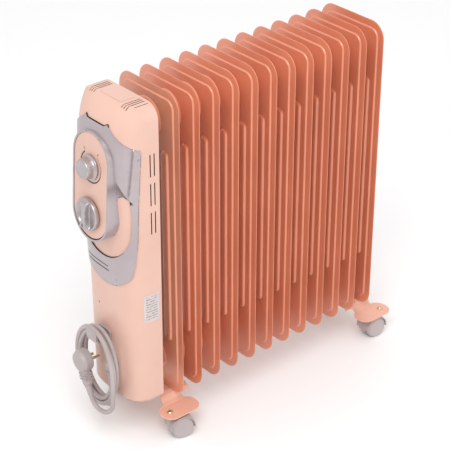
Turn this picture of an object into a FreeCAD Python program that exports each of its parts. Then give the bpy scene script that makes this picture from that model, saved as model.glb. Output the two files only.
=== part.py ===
"""Oil filled radiator on castors, as an assembly of separate pieces.

Units are millimetres.  +X runs along the fin stack away from the control housing, +Y is the side
away from the plain long view, +Z is up.  Everything is built with the first fin at X = 0 and the
floor at Z = 0, and is moved at the end so that the origin lies under the middle of the object.
"""
import FreeCAD, Part
import math
import os

V = FreeCAD.Vector

# Driving dimensions -----------------------------------------------------------------------------

FIN_COUNT = 12
FIN_PITCH = 40.8
FIN_WIDTH = 156.0
FIN_HEIGHT = 575.0
FIN_BOTTOM = 65.0
FIN_CORNER = 30.0
SHEET = 0.55                 # each fin is two pressed sheets, seam welded round the edge
SEAM_WIDTH = 12.0            # flat welded border of a fin
PAN_DEPTH = 3.0              # how far the pressed pan stands off the seam plane, each side
CHANNEL_DEPTH = 7.0          # the same for the vertical oil channels
CHANNEL_WIDTH = 19.0
CHANNEL_PITCH = 29.0
CHANNEL_COUNT = 4
CHANNEL_END = 105.0          # from the fin's top and bottom to the channels' ends

HEADER_INSET = 60.0          # header axis from the fin's top and bottom
HEADER_BORE = 17.0
BOSS_RADIUS = 35.0           # drawn boss where it leaves the fin
BOSS_SHEET = 1.4
WAIST_RADIUS = 20.0          # welded joint half way between two fins

HOUSING_BACK = -38.0
HOUSING_BOTTOM = 84.0
HOUSING_TOP = 636.0
HOUSING_HALF_LOW = 70.5      # half width at the bottom
HOUSING_HALF_HIGH = 74.5     # half width at the top
HOUSING_SIDE = -50.0         # the straight sides end here and the rounded nose begins
HOUSING_SHOULDER = 26.0
HOUSING_FOOT_RADIUS = 8.0
NOSE_POWER = 3.0             # the nose's plan section is a superellipse of this power
WALL = 2.5
LABEL_PAD = 0.8              # height of the blank pad between the top slots
NOSE_PROFILE = (             # (height, X of the nose) on the middle line
    (84.0, -98.0), (200.0, -98.0), (315.0, -98.5), (380.0, -101.0), (440.0, -105.0),
    (500.0, -109.0), (545.0, -110.0), (585.0, -107.0), (610.0, -99.0), (625.0, -89.0),
    (636.0, -76.0))

BEZEL_THICK = 2.2
BEZEL_TOP = 606.0
BEZEL_BOTTOM = 309.0
BEZEL_EDGE = (               # (X, height) of the bezel's border on the housing's sides
    (-60.0, 600.0), (-72.0, 575.0), (-74.0, 562.0), (-80.0, 464.0), (-81.5, 404.0), (-85.0, 360.0),
    (-90.0, 334.0), (-94.0, 318.0), (-95.0, 300.0))

POD_X = -113.5               # face of the control pod at its top
POD_TILT = 4.0               # degrees, the face looks slightly upward
POD_TOP = 588.0
POD_BOTTOM = 397.0
POD_HALF = 47.5
POD_RIM = 3.5

THERMOSTAT_Z = 527.0
SELECTOR_Z = 445.0
SHAFT_RADIUS = 3.0
SHAFT_CLEARANCE = 0.05

PLATE_THICK = 2.5
PLATE_TOP = 49.0             # top of the foot plate at its ends
FOOT_OUT = 47.0              # foot plate beyond the end fin
FOOT_IN = 27.0               # foot plate inboard of the end fin
FOOT_HALF = 98.0

CASTOR_X = 31.0              # castor stem beyond the end fin
CASTOR_Y = 78.0
WHEEL_RADIUS = 20.0
WHEEL_THICK = 10.5
WHEEL_GAP = 14.0             # between the twin wheels
TRAIL = 18.5
AXLE_RADIUS = 2.0
NEAR_SWIVEL = -16.0          # rest swivel of the housing-end castors, degrees
FAR_SWIVEL = -5.0            # rest swivel of the far-end castors, degrees

CORD_DIAMETER = 8.4
CORD_ROUTE = (               # strain relief to hank, straight runs to be rounded
    (-108.5, -14.0, 132.0), (-108.5, -14.8, 120.5), (-109.5, -17.5, 109.0), (-111.5, -23.5, 95.5))
GLAND = (-98.2, -14.0, 152.0)
HANK_CENTRE = (-114.0, 8.0, 143.0)
HANK_HALF_Y = 58.0
HANK_HALF_Z = 81.0
HANK_BAND = 19.0             # radial width of the wound strands
HANK_DEPTH = 19.0
PLUG_FACE = (-127.5, 24.0, 152.0)
PLUG_LEAN = 18.0             # degrees that the plug leans off upright
PLUG_TAIL = 64.0             # from the plug's middle to the end of its tail

STACK = FIN_PITCH * (FIN_COUNT - 1)
UPPER_Z = FIN_BOTTOM + FIN_HEIGHT - HEADER_INSET
LOWER_Z = FIN_BOTTOM + HEADER_INSET


# Small building blocks --------------------------------------------------------------------------

def box(x0, x1, y0, y1, z0, z1):
    return Part.makeBox(x1 - x0, y1 - y0, z1 - z0, V(x0, y0, z0))


def rod(radius, start, end):
    start = V(*start)
    run = V(*end) - start
    return Part.makeCylinder(radius, run.Length, start, run)


def fuse(shapes):
    shapes = list(shapes)
    if len(shapes) == 1:
        return shapes[0]
    return shapes[0].multiFuse(shapes[1:]).removeSplitter()


def mirrored(shape):
    """The same piece on the other side of the middle plane."""
    return shape.mirror(V(0, 0, 0), V(0, 1, 0))


def turned(shape, degrees, centre, axis=(0, 0, 1)):
    copy = shape.copy()
    copy.rotate(V(*centre), V(*axis), degrees)
    return copy


def moved(shape, x, y, z):
    copy = shape.copy()
    copy.translate(V(x, y, z))
    return copy


def rounded_slab(x0, x1, half_y, z0, z1, radius):
    """A slab in the YZ plane with round corners, from x0 to x1."""
    slab = box(x0, x1, -half_y, half_y, z0, z1)
    corners = [edge for edge in slab.Edges if abs(edge.tangentAt(edge.FirstParameter).x) > 0.9]
    return slab.makeFillet(radius, corners)


def revolved(points, centre, axis):
    """A closed (radius, height) outline turned about an axis through centre."""
    ring = Part.makePolygon([V(r, 0, h) for r, h in points] + [V(points[0][0], 0, points[0][1])])
    solid = Part.Face(ring).revolve(V(0, 0, 0), V(0, 0, 1), 360)
    solid.Placement = FreeCAD.Placement(V(*centre), FreeCAD.Rotation(V(0, 0, 1), V(*axis)))
    return solid


def stadium(x0, x1, half, bottom, top):
    """A prism along X whose outline is two half circles joined by straight sides."""
    return rounded_slab(x0, x1, half, bottom, top, half - 0.01)


def tilt_to_pod(shape):
    """Lean a piece that was drawn upright so that it lies in the pod's face plane."""
    return turned(shape, POD_TILT, (POD_X, 0, POD_TOP), (0, 1, 0))


def rounded_path(points, closeness=0.45):
    """Straight runs joined by tangent arcs, and the arcs' radii."""
    points = [V(*p) for p in points]
    edges = []
    radii = []
    start = points[0]
    for before, corner, after in zip(points, points[1:], points[2:]):
        into = corner - before
        away = after - corner
        setback = closeness * min(into.Length, away.Length)
        half_turn = into.getAngle(away) / 2
        radii.append(setback / math.tan(half_turn))
        first = corner - into.normalize() * setback
        last = corner + away.normalize() * setback
        chord_middle = (first + last) * 0.5
        to_corner = corner - chord_middle
        rise = radii[-1] * (1 - math.cos(half_turn))
        crown = chord_middle + to_corner.normalize() * rise
        edges.append(Part.LineSegment(start, first).toShape())
        edges.append(Part.Arc(first, crown, last).toShape())
        start = last
    edges.append(Part.LineSegment(start, points[-1]).toShape())
    return Part.Wire(edges), radii


def tube_along(wire, radius):
    first = wire.Edges[0]
    circle = Part.Circle(first.valueAt(first.FirstParameter), first.tangentAt(first.FirstParameter),
                         radius)
    return wire.makePipeShell([Part.Wire(circle.toShape())], True, False)


# Radiator core ----------------------------------------------------------------------------------

def make_fin():
    """One hollow fin: a flat welded border, a pressed pan and four vertical oil channels."""
    top = FIN_BOTTOM + FIN_HEIGHT
    half_pan = FIN_WIDTH / 2 - SEAM_WIDTH
    channel_ys = [CHANNEL_PITCH * (k - (CHANNEL_COUNT - 1) / 2) for k in range(CHANNEL_COUNT)]

    def layers(shrink):
        pan = rounded_slab(-PAN_DEPTH + shrink, PAN_DEPTH - shrink, half_pan - shrink,
                           FIN_BOTTOM + SEAM_WIDTH + shrink, top - SEAM_WIDTH - shrink, 20.0)
        channels = [moved(rounded_slab(-CHANNEL_DEPTH + shrink, CHANNEL_DEPTH - shrink,
                                       CHANNEL_WIDTH / 2 - shrink,
                                       FIN_BOTTOM + CHANNEL_END + shrink,
                                       top - CHANNEL_END - shrink, CHANNEL_WIDTH / 2 - 1.5), 0, y, 0)
                    for y in channel_ys]
        return fuse([pan] + channels)

    seam = rounded_slab(-SHEET, SHEET, FIN_WIDTH / 2, FIN_BOTTOM, top, FIN_CORNER)
    fin = fuse([seam, layers(0)]).cut(layers(SHEET))
    for z in (UPPER_Z, LOWER_Z):
        fin = fin.cut(rod(HEADER_BORE, (-20, 0, z), (20, 0, z)))
    return fin


def collar(x0, x1, z):
    """A drawn boss: wide where it leaves each fin and narrow at the weld between them."""
    length = x1 - x0
    half = [(BOSS_RADIUS, 0), (BOSS_RADIUS - 2, 2.0), (WAIST_RADIUS + 3, 7.5), (WAIST_RADIUS, length / 2)]
    outside = half + [(r, length - h) for r, h in reversed(half[:-1])]
    inside = [(r - BOSS_SHEET, h) for r, h in reversed(outside)]
    return revolved(outside + inside, (x0, 0, z), (1, 0, 0))


def end_dome(x, z, direction):
    """The closed boss on the outer face of an end fin."""
    outline = [(0, 0), (BOSS_RADIUS, 0), (BOSS_RADIUS - 2, 2), (24, 6), (20, 9), (0, 10)]
    return revolved(outline, (x, 0, z), (direction, 0, 0))


def make_upper_header():
    collars = [collar(i * FIN_PITCH + PAN_DEPTH, (i + 1) * FIN_PITCH - PAN_DEPTH, UPPER_Z)
               for i in range(FIN_COUNT - 1)]
    near = end_dome(-PAN_DEPTH, UPPER_Z, -1).cut(rod(7.0, (-30, 0, UPPER_Z), (0, 0, UPPER_Z)))
    return Part.Compound(collars + [near, end_dome(STACK + PAN_DEPTH, UPPER_Z, 1)])


def make_lower_header():
    collars = [collar(i * FIN_PITCH + PAN_DEPTH, (i + 1) * FIN_PITCH - PAN_DEPTH, LOWER_Z)
               for i in range(FIN_COUNT - 1)]
    outline = [(14, 0), (BOSS_RADIUS, 0), (BOSS_RADIUS - 2, 2), (24, 6), (20, 9), (20, 18), (14, 18)]
    socket = revolved(outline, (-PAN_DEPTH, 0, LOWER_Z), (-1, 0, 0))
    return Part.Compound(collars + [socket, end_dome(STACK + PAN_DEPTH, LOWER_Z, 1)])


def make_filler_plug():
    """Threaded plug in the upper end boss, with a stud that carries the housing's back plate."""
    body = rod(7.0, (-PAN_DEPTH - 14, 0, UPPER_Z), (-PAN_DEPTH, 0, UPPER_Z))
    across_flats = 11.0
    hexagon = Part.makePolygon([V(-21.0, across_flats * math.cos(math.radians(60 * k)),
                                  UPPER_Z + across_flats * math.sin(math.radians(60 * k)))
                                for k in range(7)])
    head = Part.Face(hexagon).extrude(V(6.0, 0, 0))
    stud = rod(4.0, (HOUSING_BACK - 9, 0, UPPER_Z), (-21, 0, UPPER_Z))
    shoulder = rod(6.5, (HOUSING_BACK + 1.5, 0, UPPER_Z), (-21, 0, UPPER_Z))
    return fuse([body, head, stud, shoulder])


def make_element():
    """Hairpin heater in the lower header: two sheathed rods joined by a bend."""
    gap = 8.0
    start = -PAN_DEPTH - 30
    end = STACK * 0.55
    rods = [rod(4.0, (start, s * gap, LOWER_Z), (end, s * gap, LOWER_Z)) for s in (-1, 1)]
    bend = Part.makeTorus(gap, 4.0, V(end, 0, LOWER_Z), V(0, 0, 1))
    bend = bend.common(box(end, end + 20, -20, 20, LOWER_Z - 10, LOWER_Z + 10))
    return fuse(rods + [bend])


def make_element_flange():
    """Hex bush that seals the heater in the header's socket and stands through the back plate."""
    inner_end = -PAN_DEPTH - 2
    thread = rod(14.0, (-PAN_DEPTH - 18, 0, LOWER_Z), (inner_end, 0, LOWER_Z))
    hexagon = Part.makePolygon([V(-27.0, 20 * math.cos(math.radians(60 * k)),
                                  LOWER_Z + 20 * math.sin(math.radians(60 * k)))
                                for k in range(7)])
    head = Part.Face(hexagon).extrude(V(6.0, 0, 0))
    neck = rod(13.0, (HOUSING_BACK + 1.5, 0, LOWER_Z), (-27, 0, LOWER_Z))
    nose = rod(11.0, (HOUSING_BACK - 6, 0, LOWER_Z), (HOUSING_BACK + 1.5, 0, LOWER_Z))
    solid = fuse([thread, head, neck, nose])
    for side in (-1, 1):
        solid = solid.cut(rod(4.0, (HOUSING_BACK - 10, side * 8.0, LOWER_Z), (0, side * 8.0, LOWER_Z)))
    return solid


# Housing surface --------------------------------------------------------------------------------

def nose_x(z):
    """X of the nose on the middle line at height z, straight between the profile's heights."""
    for (z0, x0), (z1, x1) in zip(NOSE_PROFILE, NOSE_PROFILE[1:]):
        if z <= z1:
            t = max(0.0, (z - z0) / (z1 - z0))
            return x0 + (x1 - x0) * t
    return NOSE_PROFILE[-1][1]


def half_width(z):
    rise = (z - HOUSING_BOTTOM) / (HOUSING_TOP - HOUSING_BOTTOM)
    return HOUSING_HALF_LOW + (HOUSING_HALF_HIGH - HOUSING_HALF_LOW) * rise


def section(z, grow, inset):
    """Plan section at height z: straight back and sides, and a superellipse nose."""
    half = half_width(z) + grow - inset
    reach = HOUSING_SIDE - nose_x(z) + grow - inset
    points = []
    for k in range(17):
        angle = math.radians(-90 + 180 * k / 16)
        side = math.copysign(abs(math.sin(angle)) ** (2 / NOSE_POWER), math.sin(angle))
        ahead = abs(math.cos(angle)) ** (2 / NOSE_POWER)
        points.append(V(HOUSING_SIDE - reach * ahead, half * side, z))
    nose = Part.BSplineCurve()
    nose.interpolate(points)
    right_back = V(HOUSING_BACK, -half, z)
    left_back = V(HOUSING_BACK, half, z)
    return Part.Wire([Part.LineSegment(left_back, right_back).toShape(),
                      Part.LineSegment(right_back, points[0]).toShape(),
                      nose.toShape(),
                      Part.LineSegment(points[-1], left_back).toShape()])


def housing_body(grow):
    """The housing's outer form, grown outward (or shrunk, when negative) by grow."""
    bottom = HOUSING_BOTTOM - grow
    radius = HOUSING_FOOT_RADIUS
    foot = []
    for k in range(4):
        angle = math.radians(90 * k / 4)
        foot.append((bottom + radius * (1 - math.cos(angle)), radius * (1 - math.sin(angle)) * 0.9))
    wires = [section(z, grow, inset) for z, inset in foot]
    heights = [bottom + radius + 6] + [z for z, _ in NOSE_PROFILE[1:-1]] + [HOUSING_TOP + grow]
    wires += [section(z, grow, 0) for z in heights]
    body = Part.makeLoft(wires, True, False)
    half = HOUSING_HALF_HIGH + grow + 5
    shoulder = HOUSING_SHOULDER + 5 + grow
    limit = rounded_slab(-200, HOUSING_BACK, half - 5, 0, HOUSING_TOP + grow, shoulder - 5)
    return body.common(limit)


def outline_prism(points, x0, x1):
    """A closed outline of (y, z) points, extruded from x0 to x1."""
    ring = Part.makePolygon([V(x0, y, z) for y, z in points] + [V(x0, *points[0])])
    return Part.Face(ring).extrude(V(x1 - x0, 0, 0))


def both_sides(points):
    """An outline given on the +Y side only, from top to bottom, closed by its mirror image."""
    return list(points) + [(-y, z) for y, z in reversed(points) if y > 0.01]


def arc_points(centre_y, centre_z, radius_y, radius_z, start, end, count):
    result = []
    for k in range(count + 1):
        angle = math.radians(start + (end - start) * k / count)
        result.append((centre_y + radius_y * math.cos(angle), centre_z + radius_z * math.sin(angle)))
    return result


def bezel_outline():
    """Shield: a stepped top, sloping shoulders, straight sides and a rounded point."""
    notch = BEZEL_TOP - 4
    sides = [(22, notch), (28, BEZEL_TOP), (66, 577), (74, 568), (78, 555), (76, 464), (73, 404)]
    lower = arc_points(0, 360, 69, 360 - BEZEL_BOTTOM, 0, -90, 10)
    return both_sides([(0, notch)] + sides + lower)


def strip_outline():
    """U-shaped cut-out under the pod, through which the housing shows."""
    outer = [(66, 484), (67, 456), (65.5, 431)] + arc_points(0, 420, 64, 60, -12, -90, 9)
    inner_bottom = POD_BOTTOM - 3.0
    inner_half = POD_HALF - 3.0
    inner = arc_points(0, inner_bottom + inner_half, inner_half, inner_half, -90, 0, 9)
    inner += [(inner_half, 470), (50, 488), (57, 491)]
    return outer + inner


def make_shell(outer, inner):
    """Hollow housing with its vents, a label pad on top and the pod's and gland's openings."""
    pad = box(-74, -46, -27, 27, HOUSING_TOP - 1, HOUSING_TOP + LABEL_PAD)
    pad = pad.makeFillet(4.0, [e for e in pad.Edges if abs(e.tangentAt(e.FirstParameter).z) > 0.9])
    shell = fuse([outer.cut(inner), pad])
    shell = shell.cut(stadium(-200, -80, POD_HALF - POD_RIM - 8, POD_BOTTOM + 12, POD_TOP - 12))
    slots = []
    for row in range(3):
        for x in (-47.5, -55.5):
            z = 517 - 52 * row
            slots.append(box(x - 1.1, x + 1.1, -90, 90, z, z + 40))
    for side in (-1, 1):
        for k in (-1, 0, 1):
            y = side * 42 + 5.5 * k
            slots.append(box(-80, -43, y - 1.2, y + 1.2, HOUSING_TOP - 15, HOUSING_TOP + 10))
            slots.append(box(-80, -50, y - 1.5, y + 1.5, HOUSING_BOTTOM - 5, HOUSING_BOTTOM + 8))
    x, y, z = GLAND
    slots.append(rod(7.5, (x - 5, y, z), (x + 8, y, z)))
    shell = shell.cut(Part.Compound(slots))
    return shell


def make_bezel(outer, skin):
    """Shield-shaped cover that follows the nose, with the raised wall of the control pod."""
    edge = [V(x, -100, z) for x, z in BEZEL_EDGE] + [V(-200, -100, 290), V(-200, -100, 620)]
    reach = Part.Face(Part.makePolygon(edge + edge[:1])).extrude(V(0, 200, 0))
    bezel = skin.common(outline_prism(bezel_outline(), -200, -60)).cut(outer).common(reach)
    strip = strip_outline()
    for outline in (strip, [(-y, z) for y, z in strip]):
        bezel = bezel.cut(outline_prism(outline, -200, -60))
    wall = stadium(-160, -80, POD_HALF, POD_BOTTOM, POD_TOP)
    bore = stadium(-170, -70, POD_HALF - POD_RIM, POD_BOTTOM + POD_RIM, POD_TOP - POD_RIM)
    front = tilt_to_pod(box(POD_X, 0, -100, 100, 300, 700))
    ring = wall.cut(bore).common(front).cut(outer)
    return fuse([bezel.cut(bore), ring])


def make_control_plate():
    """Oval plate that fills the pod, set back a little from the rim, with holes for the shafts."""
    plate = stadium(POD_X + 1.0, POD_X + 3.5, POD_HALF - POD_RIM - 0.2,
                    POD_BOTTOM + POD_RIM + 2.0, POD_TOP - POD_RIM - 0.4)
    for z in (THERMOSTAT_Z, SELECTOR_Z):
        plate = plate.cut(rod(6.0, (POD_X - 10, 0, z), (POD_X + 10, 0, z)))
    return tilt_to_pod(plate)


def make_back_plate():
    plate = rounded_slab(HOUSING_BACK - 1.5, HOUSING_BACK, 66.0, HOUSING_BOTTOM + 4, HOUSING_TOP - 5, 20.0)
    plate = plate.cut(rod(4.0, (-60, 0, UPPER_Z), (0, 0, UPPER_Z)))
    plate = plate.cut(rod(11.0, (-60, 0, LOWER_Z), (0, 0, LOWER_Z)))
    louvres = [box(HOUSING_BACK - 5, HOUSING_BACK + 5, -45, -5, z, z + 3)
               for z in range(240, 440, 14)]
    louvres += [mirrored(louvre) for louvre in louvres]
    plate = plate.cut(Part.Compound(louvres))
    for side in (-1, 1):
        for z in (HOUSING_BOTTOM + 18, HOUSING_TOP - 40):
            plate = plate.cut(rod(2.0, (-60, side * 56, z), (0, side * 56, z)))
    return plate


def make_housing_screws():
    screws = []
    for side in (-1, 1):
        for z in (HOUSING_BOTTOM + 18, HOUSING_TOP - 40):
            shank = rod(2.0, (HOUSING_BACK - 12, side * 56, z), (HOUSING_BACK, side * 56, z))
            head = revolved([(0, 0), (4.2, 0), (3.6, 1.6), (2.2, 2.4), (0, 2.4)],
                            (HOUSING_BACK, side * 56, z), (1, 0, 0))
            screws.append(fuse([shank, head]))
    return Part.Compound(screws)


def make_rating_plate(outer):
    """Blank rating sticker that follows the housing's side."""
    film = housing_body(0.35).common(box(-73.5, -44, -100, 0, 247, 300))
    return film.cut(outer)


# Controls ---------------------------------------------------------------------------------------

def make_thermostat_knob():
    """Round knob: a wide skirt and a tall waisted cap."""
    outline = [(SHAFT_RADIUS, 1), (SHAFT_RADIUS, 13), (0, 13), (0, 18), (14.5, 18), (16, 17),
               (16.6, 9), (18, 6), (20.5, 4), (21.5, 2.4), (21.5, 0.3), (19.5, 0.3),
               (19.5, 2.4), (14.5, 6.4), (13.0, 15), (6, 15), (6, 1)]
    return tilt_to_pod(revolved(outline, (POD_X, 0, THERMOSTAT_Z), (-1, 0, 0)))


def make_selector_knob():
    """Flat disc knob with a bar grip across it."""
    outline = [(SHAFT_RADIUS, 1), (SHAFT_RADIUS, 6.5), (0, 6.5), (0, 9), (24, 9), (27.2, 7.5),
               (28, 5.5), (28, 0.3), (26, 0.3), (26, 6), (6, 6), (6, 1)]
    disc = revolved(outline, (POD_X, 0, SELECTOR_Z), (-1, 0, 0))
    grip = box(POD_X - 15, POD_X - 8, -6, 6, SELECTOR_Z - 25, SELECTOR_Z + 25)
    grip = grip.common(rod(25, (POD_X - 20, 0, SELECTOR_Z), (POD_X, 0, SELECTOR_Z)))
    return tilt_to_pod(fuse([disc, grip]))


def make_shaft(z, length):
    shaft = rod(SHAFT_RADIUS, (POD_X - length, 0, z), (POD_X + 16, 0, z))
    return tilt_to_pod(shaft)


def make_thermostat_body():
    """Capillary thermostat: a square case with a bush, and two blade terminals."""
    z = THERMOSTAT_Z
    case = rounded_slab(POD_X + 6, POD_X + 30, 17, z - 17, z + 17, 4)
    bush = rod(5.5, (POD_X + 1.2, 0, z), (POD_X + 6, 0, z))
    blades = [box(POD_X + 30, POD_X + 38, y - 3, y + 3, z - 10, z - 9.2) for y in (-8, 8)]
    body = fuse([case, bush] + blades)
    return tilt_to_pod(body.cut(rod(SHAFT_RADIUS + SHAFT_CLEARANCE, (POD_X - 5, 0, z), (POD_X + 20, 0, z))))


def make_selector_switch():
    """Four-position rotary switch."""
    z = SELECTOR_Z
    case = rod(17, (POD_X + 6, 0, z), (POD_X + 26, 0, z))
    bush = rod(5.5, (POD_X + 1.2, 0, z), (POD_X + 6, 0, z))
    blades = [box(POD_X + 26, POD_X + 34, y - 3, y + 3, z + h, z + h + 0.8)
              for y in (-9, 9) for h in (-7, 6)]
    body = fuse([case, bush] + blades)
    return tilt_to_pod(body.cut(rod(SHAFT_RADIUS + SHAFT_CLEARANCE, (POD_X - 5, 0, z), (POD_X + 20, 0, z))))


def make_thermal_cutout():
    """Disc cut-out clipped to the back plate above the heater bush."""
    x = HOUSING_BACK - 1.5
    disc = rod(8.5, (x - 7, 0, 170), (x, 0, 170))
    ears = box(x - 1.2, x, -15, 15, 165, 175)
    blades = [box(x - 15, x - 7, y - 2.5, y + 2.5, 169.6, 170.4) for y in (-4.5, 4.5)]
    return fuse([disc, ears] + blades)


def make_terminal_block():
    x = HOUSING_BACK - 1.5
    block = box(x - 16, x, 22, 56, 118, 140)
    wells = [rod(2.6, (x - 18, y, 129), (x - 6, y, 129)) for y in (28, 39, 50)]
    return block.cut(Part.Compound(wells))


def make_tilt_switch():
    """Pendulum switch that turns the heater off if it falls over."""
    x = HOUSING_BACK - 1.5
    case = box(x - 20, x, -56, -28, 112, 148)
    rear = rod(5, (x - 24, -42, 130), (x - 20, -42, 130))
    return fuse([case, rear])


def make_wiring():
    """Insulated leads from the terminal block up to the cut-out, thermostat and switch."""
    routes = [
        [(-50, 28, 129), (-66, 28, 131), (-70, 20, 200), (-72, 9, 400), (-87, 9, 452)],
        [(-50, 39, 129), (-68, 39, 131), (-72, 30, 300), (-74, 26, 480), (-74, 8, 516)],
        [(-50, 50, 129), (-64, 50, 127), (-66, 30, 100), (-60, 14, 104), (-50, 12, 108)]]
    wires = []
    for route in routes:
        path, _ = rounded_path(route)
        wires.append(tube_along(path, 1.4))
    return Part.Compound(wires)


# Cord -------------------------------------------------------------------------------------------

def make_gland():
    """Elbow strain relief on the nose: the lead leaves it straight down."""
    x, y, z = GLAND
    spigot = rod(7.4, (x + 6, y, z), (x, y, z))
    collar_disc = rod(11.0, (x, y, z), (x - 3, y, z))
    elbow = rod(8.5, (x - 3, y, z), (CORD_ROUTE[0][0], y, z))
    bend = Part.makeSphere(8.5, V(CORD_ROUTE[0][0], y, z))
    drop = z - CORD_ROUTE[0][2]
    taper = revolved([(0, 0), (8.2, 0), (5.6, drop), (0, drop)], (CORD_ROUTE[0][0], y, z), (0, 0, -1))
    grooves = [revolved([(5.4, h), (12, h), (12, h + 1.4), (5.4, h + 1.4)],
                        (CORD_ROUTE[0][0], y, z), (0, 0, -1)) for h in (11.5, 15.0)]
    return fuse([spigot, collar_disc, elbow, bend, taper]).cut(Part.Compound(grooves))


def make_cleat():
    """Hook on the lower nose that the wound cord hangs on: a plate, a saddle and a raised lip."""
    nose = GLAND[0]
    y = HANK_CENTRE[1]
    top = HANK_CENTRE[2] + HANK_HALF_Z - HANK_BAND - 0.5
    front = HANK_CENTRE[0] - HANK_DEPTH / 2 - 0.5
    crown = 22.0
    plate = moved(rounded_slab(nose - 3, nose, 16, top - 24, top + 8, 6), 0, y, 0)
    saddle = rod(crown, (nose - 2, y, top - crown), (front, y, top - crown))
    saddle = saddle.cut(rod(crown - 5, (nose, y, top - crown), (front - 5, y, top - crown)))
    saddle = saddle.common(box(front - 5, nose, y - 15, y + 15, top - 9, top + 1))
    lip = moved(rounded_slab(front - 4, front, 14, top - 7, top + 15, 6), 0, y, 0)
    rib = box(nose - 20, nose - 2, y - 2, y + 2, top - 16, top - 4)
    return fuse([plate, saddle, lip, rib])


def make_hank():
    """Outer form of the wound cord: a flattened oval ring, with the fold that leads to the plug."""
    x, y, z = HANK_CENTRE
    outer = Part.Face(Part.Wire(Part.Ellipse(V(0, 0, 0), HANK_HALF_Z, HANK_HALF_Y).toShape()))
    hole = Part.Face(Part.Wire(Part.Ellipse(V(0, 0, 0), HANK_HALF_Z - HANK_BAND,
                                            HANK_HALF_Y - HANK_BAND).toShape()))
    ring = outer.cut(hole).extrude(V(0, 0, HANK_DEPTH))
    stand_up = FreeCAD.Rotation(V(0, 1, 0), 90)
    ring.Placement = FreeCAD.Placement(V(x - HANK_DEPTH / 2, y, z), stand_up)
    lean = math.radians(PLUG_LEAN)
    tail_y = PLUG_FACE[1] - PLUG_TAIL * math.sin(lean)
    tail_z = PLUG_FACE[2] - PLUG_TAIL * math.cos(lean)
    front = PLUG_FACE[0] - 10 - CORD_DIAMETER / 2
    fold = box(front, x, tail_y - 8, tail_y + 6, z - HANK_HALF_Z + 3, tail_z - 0.3)
    uprights = [e for e in fold.Edges if abs(e.tangentAt(e.FirstParameter).y) > 0.9]
    fold = fold.makeFillet(5.0, uprights)
    return fuse([ring, fold])


def make_plug():
    """Round earthed plug: a disc head, a grip with ribs and a tapered tail."""
    head = [(0, 0), (19, 0), (20, 1.2), (20, 14), (17, 19), (0, 21)]
    disc = revolved(head, (0, 0, 0), (-1, 0, 0))
    grip = box(-17, -3, -9.5, 9.5, -42, 0)
    grip = grip.makeFillet(5.0, [e for e in grip.Edges if abs(e.tangentAt(e.FirstParameter).z) > 0.9])
    ribs = [box(-17.8, -2.2, -10.3, 10.3, z, z + 2.2) for z in (-24, -29, -34)]
    tail = revolved([(0, 0), (6.5, 0), (CORD_DIAMETER / 2 + 0.8, PLUG_TAIL - 42), (0, PLUG_TAIL - 42)],
                    (-10, 0, -42), (0, 0, -1))
    return fuse([disc, grip, tail] + ribs)


def make_plug_pins():
    return Part.Compound([rod(2.4, (0, side * 9.5, 0), (18, side * 9.5, 0)) for side in (-1, 1)])


# Feet and castors -------------------------------------------------------------------------------

def make_foot():
    """Pressed foot for the housing end: a raised saddle under the fin and two wide ends."""
    top = FIN_BOTTOM
    side = [(40, top), (47, top - 4), (53, PLATE_TOP + 3), (60, PLATE_TOP), (FOOT_HALF, PLATE_TOP)]
    upper = [(-y, z) for y, z in reversed(side)] + side
    lower = [(y, z - PLATE_THICK) for y, z in reversed(upper)]
    bent = outline_prism(upper + lower, -FOOT_OUT, FOOT_IN + 6)
    middle = box(-27, FOOT_IN + 6, -50, 50, 0, 100)
    end = box(-FOOT_OUT, FOOT_IN, 57, FOOT_HALF, 0, 100)
    uprights = [e for e in end.Edges if abs(e.tangentAt(e.FirstParameter).z) > 0.9]
    end = end.makeFillet(18.0, uprights)
    neck = box(-27, FOOT_IN - 12, 40, 66, 0, 100)
    plan = fuse([middle, end, neck, mirrored(end), mirrored(neck)])
    leg = WAIST_RADIUS + 3.5
    holes = []
    for side_sign in (-1, 1):
        stem_y = side_sign * CASTOR_Y
        holes.append(rod(2.6, (-CASTOR_X, stem_y, 0), (-CASTOR_X, stem_y, 100)))
        holes.append(rod(3.2, (FIN_PITCH / 2, side_sign * leg, 0), (FIN_PITCH / 2, side_sign * leg, 100)))
    return bent.common(plan).cut(Part.Compound(holes))


def make_u_bolt():
    leg = WAIST_RADIUS + 3.5
    x = FIN_PITCH / 2
    bow = Part.makeTorus(leg, 3.0, V(x, 0, LOWER_Z), V(1, 0, 0))
    bow = bow.common(box(x - 5, x + 5, -50, 50, LOWER_Z, LOWER_Z + 50))
    legs = [rod(3.0, (x, s * leg, 50.0), (x, s * leg, LOWER_Z)) for s in (-1, 1)]
    return fuse([bow] + legs)


def make_wing_nut(y):
    """Wing nut that pulls the foot up against the fin."""
    x = FIN_PITCH / 2
    top = FIN_BOTTOM - PLATE_THICK
    hub = revolved([(3.0, 0), (7, 0), (5.5, 7), (3.0, 7)], (x, y, top), (0, 0, -1))
    wings = [box(x - 1.1, x + 1.1, y + 5, y + 14, top - 10, top - 1),
             box(x - 1.1, x + 1.1, y - 14, y - 5, top - 10, top - 1)]
    return fuse([hub] + wings)


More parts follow.
